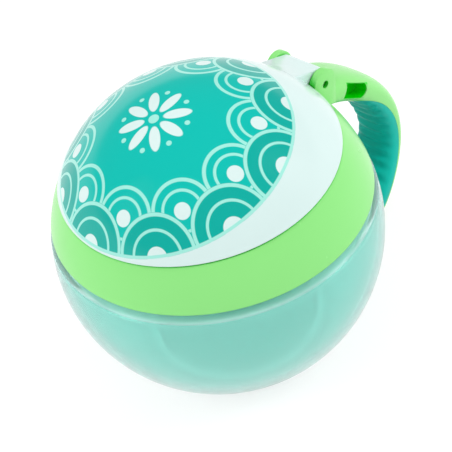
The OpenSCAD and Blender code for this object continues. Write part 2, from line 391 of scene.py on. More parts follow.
ARM_WAIST_W = 15.2 * MM
ARM_TIP_W = 23.8 * MM
BACK_T = 4.0 * MM
SECTION_POWER = 2.8
SPLIT_START, SPLIT_END = 0.15, 0.8
SPLIT_EASE = 2.5
EDGE_SHARE = 0.995
GRIP_START = 0.175
GRIP_FIT = 0.05 * MM
CAP_START = 0.96
END_RATIO = 0.02
RIB_COUNT, RIB_DEPTH = 10, 0.9 * MM
RIB_FROM, RIB_TO = 0.24, 0.9
RIB_SIDE_EASE = 1.5
POCKET_U = 0.155
POCKET_L, POCKET_H, POCKET_DEPTH = 11.6 * MM, 4.8 * MM, 5 * MM
POCKET_CORNER = 0.7 * MM


def bezier(c, t):
    """The point at t on a cubic curve with the control points c."""
    return (1 - t) ** 3 * c[0] + 3 * (1 - t) ** 2 * t * c[1] + 3 * (1 - t) * t * t * c[2] + t**3 * c[3]


def bezier_way(c, t):
    """The unit direction of that curve at t."""
    way = (1 - t) ** 2 * (c[1] - c[0]) + 2 * (1 - t) * t * (c[2] - c[1]) + t * t * (c[3] - c[2])
    return way / np.linalg.norm(way)


def arm_point(u):
    """The point of the arm's middle line at u, as X and Z."""
    if u < WAIST_U:
        return bezier(UPPER_CURVE, u / WAIST_U)
    return bezier(LOWER_CURVE, (u - WAIST_U) / (1 - WAIST_U))


def arm_way(u):
    """The unit direction of the arm's middle line at u."""
    if u < WAIST_U:
        return bezier_way(UPPER_CURVE, u / WAIST_U)
    return bezier_way(LOWER_CURVE, (u - WAIST_U) / (1 - WAIST_U))


def smooth(t):
    """A smooth step from 0 to 1."""
    t = min(1.0, max(0.0, t))
    return t * t * (3 - 2 * t)


def cap(u):
    """Share of the full section that is left at u, which falls over the rounded free end."""
    if u < CAP_START:
        return 1.0
    return math.sqrt(max(END_RATIO, 1 - ((u - CAP_START) / (1 - CAP_START)) ** 2))


def arm_half_w(u):
    if u < WAIST_U:
        width = ARM_ROOT_W + (ARM_WAIST_W - ARM_ROOT_W) * smooth(u / WAIST_U)
    else:
        width = ARM_WAIST_W + (ARM_TIP_W - ARM_WAIST_W) * smooth((u - WAIST_U) / (1 - WAIST_U))
    return cap(u) * width / 2


def arm_half_t(u):
    return cap(u) * ARM_T / 2


def split_share(u):
    """Where the split between back and grip crosses the section: -1 at its inner face, 1 at its outer."""
    back = 1 - BACK_T / (ARM_T / 2)
    left = 1 - min(1.0, max(0.0, (u - SPLIT_START) / (SPLIT_END - SPLIT_START)))
    return -EDGE_SHARE + (back + EDGE_SHARE) * (1 - left**SPLIT_EASE)


def split_angle(share):
    """The section's angle at that share of its half thickness."""
    return math.asin(math.copysign(abs(share) ** (SECTION_POWER / 2), share))


def section_point(a, half_w, half_t):
    """A point on the rounded-square section."""
    power = 2 / SECTION_POWER
    return (
        half_w * math.copysign(abs(math.cos(a)) ** power, math.cos(a)),
        half_t * math.copysign(abs(math.sin(a)) ** power, math.sin(a)),
    )


def rib_valley(u, a):
    """How deep the grip's inner face dips between two ribs."""
    t = (u - RIB_FROM) / (RIB_TO - RIB_FROM)
    if t < 0 or t > 1 or math.sin(a) > 0:
        return 0.0
    return RIB_DEPTH * (0.5 - 0.5 * math.cos(2 * math.pi * RIB_COUNT * t)) * abs(math.sin(a)) ** RIB_SIDE_EASE


def place_on_arm(u, p):
    """The place in space of the section's point p, which is given across the arm and outward."""
    c, d = arm_point(u), arm_way(u)
    return (c[0] - d[1] * p[1], p[0], c[1] + d[0] * p[1])


def stations(start, count, cap_count=16):
    """Places along the arm, closer together over the rounded free end."""
    run = np.linspace(start, CAP_START, count, endpoint=False)
    end = CAP_START + (1 - CAP_START) * np.sin(np.linspace(0, math.pi / 2, cap_count))
    return np.concatenate([run, end])


def back_ring(u, sides=56):
    """The part of the section that lies outward of the split, which is the hard back."""
    low = split_angle(split_share(u))
    angles = low + (math.pi - 2 * low) * np.linspace(0, 1, sides)
    return np.array([place_on_arm(u, section_point(a, arm_half_w(u), arm_half_t(u))) for a in angles])


def grip_ring(u, sides=64):
    """The rest of the section, which is the grip, with its fit to the back and its ribs."""
    high = split_angle(split_share(u) - GRIP_FIT / (ARM_T / 2))
    angles = math.pi - high + (math.pi + 2 * high) * np.linspace(0, 1, sides)
    ring = []
    for a in angles:
        p = section_point(a, arm_half_w(u), arm_half_t(u))
        ring.append(place_on_arm(u, (p[0], p[1] + rib_valley(u, a))))
    return np.array(ring)


# ---------------------------------------------------------------- the pieces
def make_bowl():
    corner_z = LEDGE_Z - LEDGE_ROUND
    edge_r = math.sqrt(BALL_R**2 - (corner_z - BALL_Z) ** 2) - LEDGE_ROUND
    in_r = BALL_R - BOWL_WALL
    centre = (0, BALL_Z)
    base_angle = math.degrees(math.asin(-BALL_Z / BALL_R))
    corner_angle = math.degrees(math.asin((corner_z - BALL_Z) / BALL_R))
    roof_z = LEDGE_Z - BOWL_WALL
    roof_angle = math.degrees(math.asin((roof_z - BALL_Z) / in_r))
    floor_angle = math.degrees(math.asin((FLOOR_T - BALL_Z) / in_r))
    outer = arc(centre, BALL_R, base_angle, corner_angle)
    inner = arc(centre, in_r, roof_angle, floor_angle)
    foot_r = outer[0][0] - FOOT_IN
    path = rounded_path(
        [
            (line((0, FOOT_UP), (foot_r, FOOT_UP)), 4, FOOT_EDGE),
            (line((foot_r, FOOT_UP), (foot_r + FOOT_UP, 0)), 2, FOOT_EDGE),
            (line((foot_r + FOOT_UP, 0), outer[0]), 3, 1.0 * MM),
            (outer, 40, 0.0),
            (arc((edge_r, corner_z), LEDGE_ROUND, 0, 90, 20), 10, 0.0),
            (line((edge_r, LEDGE_Z), (NECK_R, LEDGE_Z)), 3, 0.4 * MM),
            (line((NECK_R, LEDGE_Z), (NECK_R, NECK_TOP)), 5, 0.6 * MM),
            (line((NECK_R, NECK_TOP), (NECK_IN, NECK_TOP)), 3, 0.6 * MM),
            (line((NECK_IN, NECK_TOP), (NECK_IN, roof_z)), 5, 1.0 * MM),
            (line((NECK_IN, roof_z), inner[0]), 3, 1.0 * MM),
            (inner, 40, 2.0 * MM),
            (line(inner[-1], (0, FLOOR_T)), 4, 0.0),
        ],
        closed=False,
    )
    thing = revolve("bowl_shell", lambda a: path, closed=False)
    add_threads(thing, NECK_R, NECK_THREAD_Z, 0.0, NECK_THREAD_SWEEP, outward=1)
    shade(thing)
    return thing


def thread_tool(radius, start_z, start_angle, sweep, outward):
    """A helical ridge on a round wall. It rises from the wall and sinks back over a share of its sweep."""
    across_z = np.array((-0.5, -0.22, 0.22, 0.5, 0.5, -0.5)) * THREAD_H
    reach = np.array((0.0, 1.0, 1.0, 0.0, 0.0, 0.0)) * THREAD_DEPTH
    sunk = np.array((0.0, 0.0, 0.0, 0.0, 1.0, 1.0)) * THREAD_SUNK
    rings = []
    for k in range(THREAD_STEPS + 1):
        t = k / THREAD_STEPS
        a = start_angle + sweep * t
        z = start_z + THREAD_LEAD * sweep * t / (2 * math.pi)
        swell = math.sin(math.pi / 2 * min(1.0, min(t, 1 - t) / THREAD_RISE))
        r = radius + outward * (reach * swell - sunk - FACE_STEP)
        rings.append(np.stack([r * math.cos(a), r * math.sin(a), z + across_z], 1))
    return loft("thread_tool", rings)


def add_threads(thing, radius, start_z, start_angle, sweep, outward):
    """Joins the thread's starts to a piece, evenly spaced round it."""
    for i in range(THREAD_STARTS):
        turned = start_angle + 2 * math.pi * i / THREAD_STARTS
        cut_with(thing, thread_tool(radius, start_z, turned, sweep, outward), "UNION")


def rim_height(angle, radius):
    """Height of the lid joint's plane over a point at that angle and radius."""
    x = radius * math.cos(angle)
    return BALL_Z + (RIM_UP + x * math.sin(RIM_LEAN)) / math.cos(RIM_LEAN)


def on_rim(angle, radius, corrections=12):
    """The point of the plane's circle of that radius about the leaning axis, seen at an angle about Z."""
    lean_c, lean_s = math.cos(RIM_LEAN), math.sin(RIM_LEAN)
    r = radius
    for _ in range(corrections):
        x, y = r * math.cos(angle), r * math.sin(angle)
        z = rim_height(angle, r) - BALL_Z
        along = x * lean_c + z * lean_s
        r += radius - math.hypot(along, y)
    return r, rim_height(angle, r)


def collar_profile(angle):
    """The ring's section at an angle: the ball's skin, the land for the lid, the deck and the bore."""
    low_r = math.sqrt(BALL_R**2 - (COLLAR_LOW - BALL_Z) ** 2)
    top_r, top_z = on_rim(angle, RIM_R)
    land_r, land_z = on_rim(angle, RECESS_R)
    low_angle = math.degrees(math.atan2(COLLAR_LOW - BALL_Z, low_r))
    top_angle = math.degrees(math.atan2(top_z - BALL_Z, top_r))
    deck_r = land_r - (land_z - DECK_TOP) * math.tan(RIM_LEAN) * math.cos(angle)
    skin = arc((0, BALL_Z), BALL_R, low_angle, top_angle, 60)
    return rounded_path(
        [
            (skin, 30, 0.45 * MM),
            (line(skin[-1], (land_r, land_z)), 3, 0.3 * MM),
            (line((land_r, land_z), (deck_r, DECK_TOP)), 4, 0.4 * MM),
            (line((deck_r, DECK_TOP), (MOUTH_R, DECK_TOP)), 4, 0.5 * MM),
            (line((MOUTH_R, DECK_TOP), (MOUTH_R, DECK_LOW)), 2, 0.5 * MM),
            (line((MOUTH_R, DECK_LOW), (BORE_R, DECK_LOW)), 4, 0.4 * MM),
            (line((BORE_R, DECK_LOW), (BORE_R, COLLAR_LOW)), 5, 0.6 * MM),
            (line((BORE_R, COLLAR_LOW), skin[0]), 3, 0.6 * MM),
        ],
        closed=True,
    )


def ear_outline():
    foot_z = HINGE.z - EAR_FOOT
    top = arc((HINGE.x, HINGE.z), EAR_R, 180, 0, 60)
    foot = [(HINGE.x + EAR_R - EAR_TAPER, foot_z), (RIM_BACK_X - EAR_SINK, foot_z + EAR_FOOT_RISE)]
    return np.concatenate([top, foot])


def pocket_tools():
    """The two cuts of the side pockets: round at the end towards the free end, and square at the root."""
    centre, way = arm_point(POCKET_U), arm_way(POCKET_U)
    normal = np.array((-way[1], way[0]))
    half_l, half_h = POCKET_L / 2, POCKET_H / 2
    corner = POCKET_CORNER
    outer_end = arc((half_l - half_h, 0), half_h, -90, 90, 24)
    inner_low = arc((-half_l + corner, -half_h + corner), corner, -180, -90, 6)
    inner_high = arc((-half_l + corner, half_h - corner), corner, 90, 180, 6)
    flat = np.concatenate([outer_end, inner_high, inner_low])
    outline = centre + flat[:, :1] * way + flat[:, 1:] * normal
    reach = HINGE_W / 2 + 2 * MM
    floor_y = arm_half_w(POCKET_U) - POCKET_DEPTH
    tools = []
    for side in (-1, 1):
        tools.append(across("pocket_tool", outline, reach - floor_y, 0.0, side * (reach + floor_y) / 2))
    return tools


def make_collar():
    ring = revolve("collar_shell", collar_profile)
    # The angle at which these ridges run midway between those of the neck, with the collar screwed down
    midway = 2 * math.pi * (COLLAR_THREAD_Z - NECK_THREAD_Z - THREAD_LEAD / 4) / THREAD_LEAD
    add_threads(ring, BORE_R, COLLAR_THREAD_Z, midway, COLLAR_THREAD_SWEEP, outward=-1)
    slot = SLOT_W - 2 * FACE_STEP
    swing_r = BARREL_R + SWING_CLEAR
    cut_with(ring, bar("swing_tool", swing_r, slot))
    arm = loft("arm_tool", [back_ring(u) for u in stations(0.0, 140)])
    for tool in pocket_tools():
        cut_with(arm, tool)
    cut_with(arm, bar("swing_tool", swing_r, slot - FACE_STEP))
    cut_with(arm, cylinder("bore_tool", BORE_R + ARM_BORE_STEP, CUT_LOW, DECK_LOW))
    cut_with(arm, cylinder("mouth_tool", RECESS_R + MOUTH_STEP, DECK_TOP, CUT_HIGH))
    cut_with(ring, arm, "UNION")
    for side in (-1, 1):
        middle = side * (HINGE_W - EAR_T) / 2
        ear = across("ear_tool", ear_outline(), EAR_T, EAR_EDGE, middle)
        cut_with(ear, cylinder("bore_tool", BORE_R + EAR_BORE_STEP, CUT_LOW, DECK_LOW))
        cut_with(ring, ear, "UNION")
    cut_with(ring, bar("pin_tool", PIN_R, HINGE_W + 2 * MM, sides=PIN_HOLE_SIDES))
    tidy(ring, CUT_MERGE)
    shade(ring, 30)
    return ring


def make_grip():
    thing = loft("grip_shell", [grip_ring(u) for u in stations(GRIP_START, 260)])
    shade(thing, 40)
    return thing


def make_insert():
    low = NECK_TOP + SEAT_PLAY
    top = low + BEAD_T
    under = top - FLAP_T
    bead_in = NECK_IN - BEAD_LAP
    under_middle = under + 0.3 * MM
    top_middle = top - 0.1 * MM
    step_out = (MOUTH_R + 0.5 * MM, top)
    step_in = (MOUTH_R - 0.8 * MM, top - 0.25 * MM)
    path = rounded_path(
        [
            (line((0, under_middle), (bead_in, under)), 6, 0.35 * MM),
            (line((bead_in, under), (bead_in, low)), 2, 0.25 * MM),
            (line((bead_in, low), (BEAD_R, low)), 3, 0.6 * MM),
            (line((BEAD_R, low), (BEAD_R, top)), 2, 0.6 * MM),
            (line((BEAD_R, top), step_out), 3, 0.3 * MM),
            (line(step_out, step_in), 2, 0.3 * MM),
            (line(step_in, (0, top_middle)), 6, 0.0),
        ],
        closed=False,
    )
    thing = revolve("flap_shell", lambda a: path, closed=False)
    slit_ends = [arc((SLIT_END, 0), SLIT_W / 2, -90, 90, 12), arc((-SLIT_END, 0), SLIT_W / 2, 90, 270, 12)]
    slit_outline = np.concatenate(slit_ends)
    for i in range(SLIT_COUNT):
        turn = Matrix.Rotation(math.pi * i / SLIT_COUNT, 4, "Z")
        slit = upright("slit_tool", slit_outline, low - MM, top + MM)
        slit.data.transform(turn)
        cut_with(thing, slit)
        for side in (-1, 1):
            hole = cylinder("relief_tool", RELIEF_R, low - MM, top + MM, RELIEF_SIDES)
            hole.data.transform(turn @ Matrix.Translation((side * SLIT_END, 0, 0)))
            cut_with(thing, hole)
    shade(thing, 35)
    return thing


def make_pin():
    half = HINGE_W / 2 - PIN_INSET
    path = rounded_path(
        [
            (line((0, -half), (PIN_R, -half)), 3, 0.3 * MM),
            (line((PIN_R, -half), (PIN_R, half)), 6, 0.3 * MM),
            (line((PIN_R, half), (0, half)), 3, 0.0),
        ],
        closed=False,
    )
    thing = revolve("pin_shell", lambda a: path, PIN_SIDES, closed=False)
    thing.data.transform(Matrix.Translation(HINGE) @ Matrix.Rotation(math.pi / 2, 4, "X"))
    shade(thing, 35)
    return thing


def tongue_outline():
    """The tongue and its barrel from the side. The top runs straight from the dome to touch the barrel."""
    from_x = HINGE.x - 2 * BARREL_R
    dome_x = -(RIM_UP - DOME_DROP) * math.sin(RIM_LEAN)
    dome_z = BALL_Z + (RIM_UP - DOME_DROP) * math.cos(RIM_LEAN)
    top_z = dome_z + math.sqrt(DOME_R**2 - (from_x - dome_x) ** 2)
    gap_x, gap_z = from_x - HINGE.x, top_z - HINGE.z
    towards_dome = math.degrees(math.atan2(gap_z, gap_x))
    touch = towards_dome - math.degrees(math.acos(BARREL_R / math.hypot(gap_x, gap_z)))
    barrel_end = -172
    barrel = arc((HINGE.x, HINGE.z), BARREL_R, touch, barrel_end, 60)
    way = np.array((from_x, top_z)) - barrel[0]
    root = np.array((from_x, top_z)) + TONGUE_ROOT * way / np.linalg.norm(way)
    low_z = RIM_BACK_Z + LID_GAP
    return np.concatenate([[root], barrel, [(RIM_BACK_X, low_z), (root[0], low_z)]])


def make_lid():
    centre = (0, -DOME_DROP)
    edge_angle = math.degrees(math.asin((LID_GAP + DOME_DROP) / DOME_R))
    in_r = DOME_R - LID_WALL
    lip_angle = math.degrees(math.asin((LID_GAP + DOME_DROP) / in_r))
    groove_angle = math.degrees(math.acos(SKIRT_R / in_r))
    skirt_in = SKIRT_R - LID_WALL
    inner_angle = math.degrees(math.acos(skirt_in / in_r))
    outer = arc(centre, DOME_R, 90, edge_angle, 120)
    lip = arc(centre, in_r, lip_angle, groove_angle, 20)
    roof = arc(centre, in_r, inner_angle, 90, 120)
    drop = np.linspace(lip[-1][1], -SKIRT_H, 60)
    swell = SNAP_UP * np.exp(-(((drop + SNAP_DOWN) / SNAP_SPREAD) ** 2))
    path = rounded_path(
        [
            (outer, 60, 0.45 * MM),
            (line(outer[-1], lip[0]), 3, 0.3 * MM),
            (lip, 4, 0.2 * MM),
            (np.stack([SKIRT_R + swell, drop], 1), 24, 0.3 * MM),
            (line((SKIRT_R, -SKIRT_H), (skirt_in, -SKIRT_H)), 3, 0.4 * MM),
            (line((skirt_in, -SKIRT_H), roof[0]), 5, 0.5 * MM),
            (roof, 40, 0.0),
        ],
        closed=False,
    )
    thing = revolve("lid_shell", lambda a: path, closed=False)
    thing.data.transform(RIM_FRAME)
    tongue = across("tongue_tool", tongue_outline(), BARREL_W, TONGUE_EDGE)
    hollow_skin = arc(centre, in_r + HOLLOW_STEP, 90, lip_angle - 1, 60)
    hollow = revolve("hollow_tool", lambda a: hollow_skin, closed=False)
    fill_holes(hollow)
    hollow.data.transform(RIM_FRAME)
    cut_with(tongue, hollow)
    cut_with(thing, tongue, "UNION")
    for side in (-1, 1):
        cut_with(thing, bar("ear_room", EAR_R + SWING_CLEAR, EAR_ROOM, side * (BARREL_W + EAR_ROOM) / 2))
    cut_with(thing, bar("pin_room", PIN_R + TURN_CLEAR, HINGE_W, sides=PIN_HOLE_SIDES))
    tidy(thing, CUT_MERGE)
    shade(thing, 30)
    return thing


# ---------------------------------------------------------------- materials
def srgb(r, g, b):
    """A colour read as 0-255 screen values, as linear light."""
    def linear(v):
        v /= 255
        return v / 12.92 if v <= 0.04045 else ((v + 0.055) / 1.055) ** 2.4
    return (linear(r), linear(g), linear(b), 1.0)


def grey(value):
    return (value, value, value, 1.0)


class Graph:
    """Short calls for building the node tree of a material or a world."""

    def __init__(self, owner, output="OutputMaterial"):
        owner.use_nodes = True
        self.owner = owner
        self.tree = owner.node_tree
        self.tree.nodes.clear()
        self.surface = self.node(output).inputs["Surface"]

    def node(self, kind, **settings):
        n = self.tree.nodes.new("ShaderNode" + kind)
        for key, value in settings.items():
            setattr(n, key, value)
        return n

    def wire(self, value, socket):
        if isinstance(value, (int, float, tuple)):
            socket.default_value = value
        else:
            self.tree.links.new(value, socket)

    def math(self, operation, a, b=0.0, c=0.0):
        n = self.node("Math", operation=operation)
        for value, socket in zip((a, b, c), n.inputs):
            self.wire(value, socket)
        return n.outputs[0]

    def noise(self, scale, detail):
        """Noise over the object's own space, with its scale in cells to the metre."""
        place = self.place()
        n = self.node("TexNoise")
        self.wire(place, n.inputs["Vector"])
        n.inputs["Scale"].default_value = scale
        n.inputs["Detail"].default_value = detail
        return n.outputs[0]

    def place(self):
        return self.node("TexCoord").outputs["Object"]

    def spread(self, value, low, high):
        """Maps 0..1 to low..high."""
        n = self.node("MapRange")
        self.wire(value, n.inputs["Value"])
        n.inputs["To Min"].default_value = low
        n.inputs["To Max"].default_value = high
        return n.outputs[0]

    def blend(self, factor, a, b):
        """The colour a where the factor is 0, and b where it is 1."""
        n = self.node("Mix", data_type="RGBA")
        self.wire(factor, n.inputs[0])
        self.wire(a, n.inputs[6])
        self.wire(b, n.inputs[7])
        return n.outputs[2]

    def bump(self, height, distance, strength=1.0, under=None):
        n = self.node("Bump")
        self.wire(height, n.inputs["Height"])
        n.inputs["Distance"].default_value = distance
        n.inputs["Strength"].default_value = strength
        if under is not None:
            self.wire(under, n.inputs["Normal"])
        return n.outputs[0]

    def soft_edges(self, radius):
        """Shading normals that round each sharp edge."""
        n = self.node("Bevel", samples=4)
        n.inputs["Radius"].default_value = radius
        return n.outputs[0]

    def openness(self, reach, low, high):
        """0 in a recess and 1 on an open face, from ambient occlusion; it masks painted shade."""
        n = self.node("AmbientOcclusion", samples=8)
        n.inputs["Distance"].default_value = reach
        return self.step_up(n.outputs["AO"], (low + high) / 2, (high - low) / 2)

    def step_up(self, value, edge, soft):
        """A smooth step from 0 to 1 as the value passes the edge."""
        n = self.node("MapRange", interpolation_type="SMOOTHSTEP")
        self.wire(value, n.inputs["Value"])
        n.inputs["From Min"].default_value = edge - soft
        n.inputs["From Max"].default_value = edge + soft
        return n.outputs[0]

    def band(self, value, middle, half, soft):
        """1 where the value is within half of the middle, else 0."""
        gap = self.math("ABSOLUTE", self.math("SUBTRACT", value, middle))
        return self.math("SUBTRACT", 1.0, self.step_up(gap, half, soft))

    def inside(self, value, edge, soft):
        """1 where the value is below the edge, else 0."""
        return self.math("SUBTRACT", 1.0, self.step_up(value, edge, soft))

    def length(self, x, y):
        squares = self.math("ADD", self.math("MULTIPLY", x, x), self.math("MULTIPLY", y, y))
        return self.math("SQRT", squares)

    def mix(self, share, plain, other):
        """One shader where the share is 0, and another where it is 1."""
        n = self.node("MixShader")
        for value, socket in zip((share, plain, other), n.inputs):
            self.wire(value, socket)
        return n.outputs[0]

    def shader(self, **values):
        """The surface of a piece, with a value or a node for each input that it names."""
        n = self.node("BsdfPrincipled")
        for key, value in values.items():
            self.wire(value, n.inputs[key.replace("_", " ")])
        self.wire(n.outputs[0], self.surface)


def new_look(name):
    return Graph(bpy.data.materials.new(name))


DRIFT_SCALE = 28.0
EDGE_SOFTNESS = 0.35 * MM


def moulded_colour(g, colour, deep, amount=0.25):
    """A moulding's colour with a slow, faint drift towards a deeper tone."""
    drift = g.spread(g.noise(DRIFT_SCALE, 2.0), 0.0, amount)
    return g.blend(drift, colour, deep)


def pocket_shade_mask(g):
    """1 inside the pockets in the handle's sides, and 0 on its skin, whose width changes along the arm. It
    masks the painted shade of the pockets.
    """
    lip = 0.35 * MM
    step = 0.05
    centre, way = arm_point(POCKET_U), arm_way(POCKET_U)
    mapping = g.node("Mapping", vector_type="TEXTURE")
    mapping.inputs["Location"].default_value = (centre[0], 0, centre[1])
    mapping.inputs["Rotation"].default_value = (0, -math.atan2(way[1], way[0]), 0)
    g.wire(g.place(), mapping.inputs["Vector"])
    parts = g.node("SeparateXYZ")
    g.wire(mapping.outputs[0], parts.inputs[0])
    along, side, up = parts.outputs
    span = np.linalg.norm(arm_point(POCKET_U + step) - arm_point(POCKET_U - step))
    taper = (arm_half_w(POCKET_U - step) - arm_half_w(POCKET_U + step)) / span
    deep = g.math("ADD", g.math("ABSOLUTE", side), g.math("MULTIPLY", along, taper))
    mask = g.inside(deep, arm_half_w(POCKET_U) - lip, 0.25 * MM)
    for length, axis in ((POCKET_L, along), (POCKET_H, up)):
        near = g.inside(g.math("ABSOLUTE", axis), length / 2 + 0.2 * MM, 0.1 * MM)
        mask = g.math("MULTIPLY", mask, near)
    return mask


def collar_plastic():
    g = new_look("collar_plastic_look")
    skin = moulded_colour(g, srgb(148, 237, 134), srgb(138, 231, 124))
    # Painted shade: recesses, found by ambient occlusion, take a deep saturated green.
    skin = g.blend(g.openness(6 * MM, 0.2, 0.8), srgb(0, 200, 10), skin)
    fine = g.noise(900.0, 4.0)
    g.shader(
        # Painted shade: the pockets in the handle's sides take a deep saturated green.
        Base_Color=g.blend(pocket_shade_mask(g), skin, srgb(0, 222, 4)),
        Roughness=g.spread(g.noise(140.0, 4.0), 0.2, 0.3),
        Normal=g.bump(fine, 0.01 * MM, 0.35, g.soft_edges(EDGE_SOFTNESS)),
        IOR=1.49,
        Specular_IOR_Level=0.4,
    )
    return g.owner


def grip_rubber():
    g = new_look("grip_rubber_look")
    fine = g.noise(2600.0, 3.0)
    g.shader(
        Base_Color=moulded_colour(g, srgb(0, 200, 182), srgb(0, 176, 160), 0.6),
        Roughness=g.spread(g.noise(220.0, 4.0), 0.4, 0.52),
        Normal=g.bump(fine, 0.03 * MM, 0.5),
        IOR=1.45,
        Specular_IOR_Level=0.22,
    )
    return g.owner


def bowl_plastic():
    """Clear aqua plastic, a little milky. A painted highlight makes the ledge's edge paler, and all from
    there up is less clear.
    """
    g = new_look("bowl_plastic_look")
    fine = g.noise(60.0, 2.0)
    parts = g.node("SeparateXYZ")
    g.wire(g.place(), parts.inputs[0])
    height = parts.outputs[2]
    body = moulded_colour(g, (0.51, 0.92, 0.85, 1.0), (0.48, 0.9, 0.83, 1.0))
    # Painted highlight: a pale line along the crest of the ledge.
    crest_highlight = g.band(height, LEDGE_Z - 0.25 * MM, 0.3 * MM, 0.2 * MM)
    g.shader(
        Base_Color=g.blend(g.math("MULTIPLY", crest_highlight, 0.7), body, (0.82, 0.98, 0.96, 1.0)),
        Roughness=g.spread(g.noise(120.0, 3.0), 0.08, 0.12),
        Normal=g.bump(fine, 0.02 * MM, 0.3),
        IOR=1.47,
        Transmission_Weight=g.spread(g.step_up(height, LEDGE_Z - 0.5 * MM, 0.3 * MM), 0.85, 0.62),
        Sheen_Weight=0.3,
        Sheen_Roughness=0.3,
    )
    return g.owner


# ---------------------------------------------------------------- the print on the lid
# Its lengths are in millimetres over the dome, and its middle leans away from the hinge.
TEAL = srgb(0, 194, 181)
TEAL_DEEP = srgb(0, 176, 163)
MINT = srgb(165, 238, 224)
PALE = srgb(222, 243, 240)
PRINT_LEAN = math.radians(11.5)
PRINT_R = 38.4
SCALLOPS = 10
SCALLOP_ROWS = ((PRINT_R, 0.0, TEAL_DEEP), (28.2, 0.5, TEAL))
SCALLOP_LINE_IN = 0.55
SCALLOP_LINE_HALF = 0.5
SCALLOP_RING_SHARE = 0.62
SCALLOP_RING_HALF = 0.4
SCALLOP_EYE_SHARE = 0.26
PETALS = 8
PETAL_MIDDLE, PETAL_HALF_L, PETAL_HALF_W = 6.6, 3.9, 1.55
PETAL_SOFT = 0.07
DOT_MIDDLE, DOT_R = 9.8, 0.75
CENTRE_R = 1.5
BORDER_HALF = 0.45
INK_SOFT = 0.12


def print_place(g):
    """Distance from the middle of the print over the dome in millimetres, the angle about it, and the
    distance from the dome's own centre in metres."""
    mapping = g.node("Mapping", vector_type="TEXTURE")
    mapping.inputs["Location"].default_value = DOME_CENTRE
    mapping.inputs["Rotation"].default_value = (0, -RIM_LEAN - PRINT_LEAN, 0)
    g.wire(g.place(), mapping.inputs["Vector"])
    parts = g.node("SeparateXYZ")
    g.wire(mapping.outputs[0], parts.inputs[0])
    x, y, z = parts.outputs
    flat = g.length(x, y)
    tilt = g.math("ARCTAN2", flat, z)
    return g.math("MULTIPLY", tilt, DOME_R / MM), g.math("ARCTAN2", y, x), g.length(flat, z)


def fold(g, angle, count, share):
    """The angle from the middle of the nearest of count equal sectors, turned by a share of one. Two whole
    turns keep the sum above 0."""
    sector = 2 * math.pi / count
    two_turns = 4 * math.pi
    moved = g.math("DIVIDE", g.math("ADD", angle, two_turns + (0.5 + share) * sector), sector)
    return g.math("MULTIPLY", g.math("SUBTRACT", g.math("FRACT", moved), 0.5), sector)


def sector_place(g, away, angle, count, share, middle):
    """Lengths along and across from a sector's middle line, at a distance from the print's middle."""
    bent = fold(g, angle, count, share)
    along = g.math("SUBTRACT", g.math("MULTIPLY", away, g.math("COSINE", bent)), middle)
    return along, g.math("MULTIPLY", away, g.math("SINE", bent))


def print_colour(g, away, angle):
    """Rows of fanned arcs round the edge of a teal disc, with a ring of petals at its middle."""
    colour = TEAL
    for middle, share, fill in reversed(SCALLOP_ROWS):
        size = middle * math.sin(math.pi / SCALLOPS)
        from_middle = g.length(*sector_place(g, away, angle, SCALLOPS, share, middle))
        colour = g.blend(g.inside(from_middle, size, INK_SOFT), colour, fill)
        line_r = size - SCALLOP_LINE_IN
        for ring, half in ((line_r, SCALLOP_LINE_HALF), (SCALLOP_RING_SHARE * size, SCALLOP_RING_HALF)):
            colour = g.blend(g.band(from_middle, ring, half, INK_SOFT), colour, MINT)
        colour = g.blend(g.inside(from_middle, SCALLOP_EYE_SHARE * size, INK_SOFT), colour, PALE)
    along, aside = sector_place(g, away, angle, PETALS, 0.0, PETAL_MIDDLE)
    petal = g.length(g.math("DIVIDE", along, PETAL_HALF_L), g.math("DIVIDE", aside, PETAL_HALF_W))
    colour = g.blend(g.inside(petal, 1.0, PETAL_SOFT), colour, PALE)
    along, aside = sector_place(g, away, angle, PETALS, 0.5, DOT_MIDDLE)
    colour = g.blend(g.inside(g.length(along, aside), DOT_R, INK_SOFT), colour, MINT)
    colour = g.blend(g.inside(away, CENTRE_R, INK_SOFT), colour, MINT)
    return g.blend(g.band(away, PRINT_R - BORDER_HALF, BORDER_HALF, INK_SOFT), colour, MINT)


def lid_plastic():
    """Pale glossy plastic. The print covers the dome's outer skin alone, and stands a hair above it."""
    g = new_look("lid_plastic_look")
    away, angle, up = print_place(g)
    edge = g.inside(away, PRINT_R, INK_SOFT)
    skin = g.step_up(up, DOME_R - 0.4 * MM, 0.2 * MM)
    inked = g.math("MULTIPLY", edge, skin)
    plain = moulded_colour(g, PALE, srgb(212, 239, 236))
    fine = g.noise(900.0, 4.0)
    relief = g.bump(fine, 0.01 * MM, 0.3, g.soft_edges(EDGE_SOFTNESS))
    g.shader(
        Base_Color=g.blend(inked, plain, print_colour(g, away, angle)),
        Roughness=g.spread(g.noise(140.0, 4.0), 0.1, 0.17),
        Normal=g.bump(inked, 0.03 * MM, 0.6, relief),
        IOR=1.49,
        Specular_IOR_Level=0.4,
    )
    return g.owner


def flap_rubber():
    g = new_look("flap_rubber_look")
    fine = g.noise(1500.0, 3.0)
    g.shader(
        Base_Color=moulded_colour(g, srgb(150, 222, 212), srgb(132, 212, 202)),
        Roughness=g.spread(g.noise(200.0, 3.0), 0.42, 0.55),
        Normal=g.bump(fine, 0.02 * MM, 0.4, g.soft_edges(0.2 * MM)),
        IOR=1.41,
        Subsurface_Weight=0.2,
        Subsurface_Scale=2 * MM,
    )
    return g.owner


def pin_steel():
    g = new_look("pin_steel_look")
    drawn = g.noise(700.0, 2.0)
    g.shader(
        Base_Color=moulded_colour(g, (0.58, 0.58, 0.57, 1.0), (0.42, 0.42, 0.42, 1.0)),
        Metallic=1.0,
        Roughness=g.spread(drawn, 0.25, 0.4),
        Normal=g.bump(drawn, 0.01 * MM, 0.4),
    )
    return g.owner


def dress(thing, material):
    thing.data.materials.clear()
    thing.data.materials.append(material)


